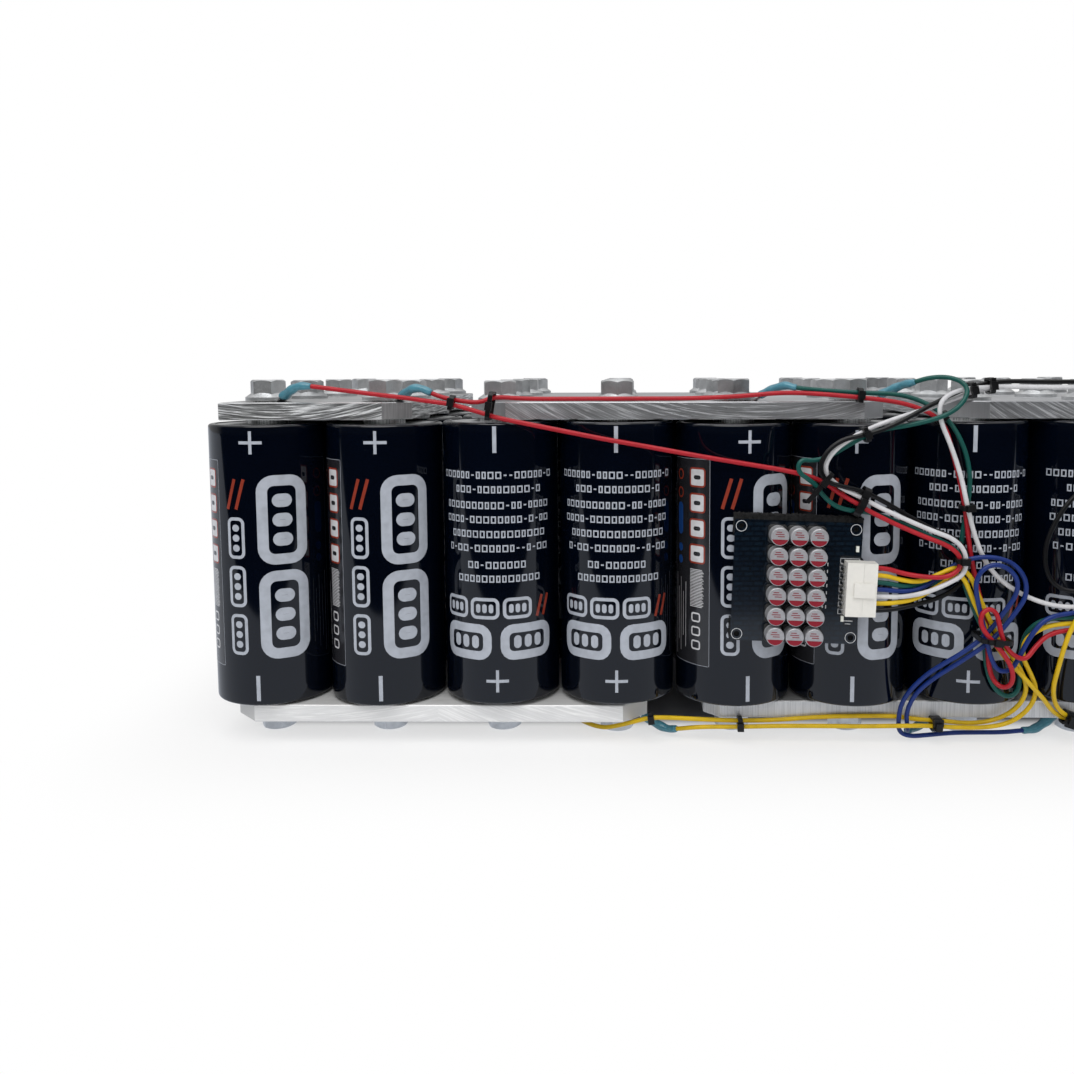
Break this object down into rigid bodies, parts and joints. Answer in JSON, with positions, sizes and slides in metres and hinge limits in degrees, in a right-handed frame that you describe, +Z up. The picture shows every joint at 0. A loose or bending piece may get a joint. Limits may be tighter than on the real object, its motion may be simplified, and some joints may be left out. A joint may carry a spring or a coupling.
{
  "type": "lithium titanate battery pack",
  "caption": "Bank of upright cylindrical cells in rubber-black sleeves, joined in series by bolted aluminium bars, with balancer boards and coloured sense wires on its front.",
  "frame": {"origin": "on the floor under the middle of the pack, measured without the loose wires and their ties", "axes": "+X along the long rows of cells to the right as seen from the front, +Y from the front, where the boards hang, to the back, +Z up"},
  "size_m": [0.8148, 0.2932, 0.2101],
  "materials": {
    "can": "bright drawn aluminium can",
    "sleeve": "glossy near-black heat-shrink film",
    "bar": "sawn and ground aluminium, filed edges",
    "bolt": "bright zinc-plated steel",
    "board": "dark solder-masked circuit board",
    "capacitor": "bare aluminium can on a dark base",
    "header": "off-white moulded nylon",
    "pin": "tinned pin and solder",
    "plug": "off-white moulded nylon",
    "lamp": "small clear indicator lamp",
    "pad": "black soft foam tape",
    "terminal": "tinned copper ring terminal",
    "terminal_sleeve": "soft vinyl sleeves in the wires' colours",
    "wire_red": "red soft wire insulation",
    "wire_yellow": "yellow soft wire insulation",
    "wire_green": "green soft wire insulation",
    "wire_blue": "blue soft wire insulation",
    "wire_white": "white soft wire insulation",
    "wire_black": "black soft wire insulation",
    "tie": "black nylon cable tie"
  },
  "bodies": {
    "root": {"balancer_board_1": "board", "balancer_board_2": "board", "board_capacitors_1": "capacitor", "board_capacitors_2": "capacitor", "board_header_1": "header", "board_header_2": "header", "board_lamps_1": "lamp", "board_lamps_2": "lamp", "bottom_bar_1": "bar", "bottom_bar_2": "bar", "bottom_bar_3": "bar", "bottom_bolts_1": "bolt", "bottom_bolts_2": "bolt", "bottom_bolts_3": "bolt", "cable_ties_1": "tie", "cable_ties_2": "tie", "cell_sleeves_1": "sleeve", "cell_sleeves_2": "sleeve", "cell_sleeves_3": "sleeve", "cell_sleeves_4": "sleeve", "cell_sleeves_5": "sleeve", "cell_sleeves_6": "sleeve", "cells_1": "can", "cells_2": "can", "cells_3": "can", "cells_4": "can", "cells_5": "can", "cells_6": "can", "header_pins_1": "pin", "header_pins_2": "pin", "mounting_pads_1": "pad", "mounting_pads_2": "pad", "ring_terminals_1": "terminal", "ring_terminals_2": "terminal", "terminal_sleeves_1": "terminal_sleeve", "terminal_sleeves_2": "terminal_sleeve", "top_bar_1": "bar", "top_bar_2": "bar", "top_bar_3": "bar", "top_bar_4": "bar", "top_bolts_1": "bolt", "top_bolts_2": "bolt", "top_bolts_3": "bolt", "top_bolts_4": "bolt", "wire_1_black": "wire_black", "wire_1_blue": "wire_blue", "wire_1_green": "wire_green", "wire_1_red": "wire_red", "wire_1_white": "wire_white", "wire_1_yellow_left": "wire_yellow", "wire_1_yellow_right": "wire_yellow", "wire_2_black": "wire_black", "wire_2_blue": "wire_blue", "wire_2_green": "wire_green", "wire_2_red": "wire_red", "wire_2_white": "wire_white", "wire_2_yellow_left": "wire_yellow", "wire_2_yellow_right": "wire_yellow", "wire_plug_1": "plug", "wire_plug_2": "plug"}
  },
  "joints": []
}
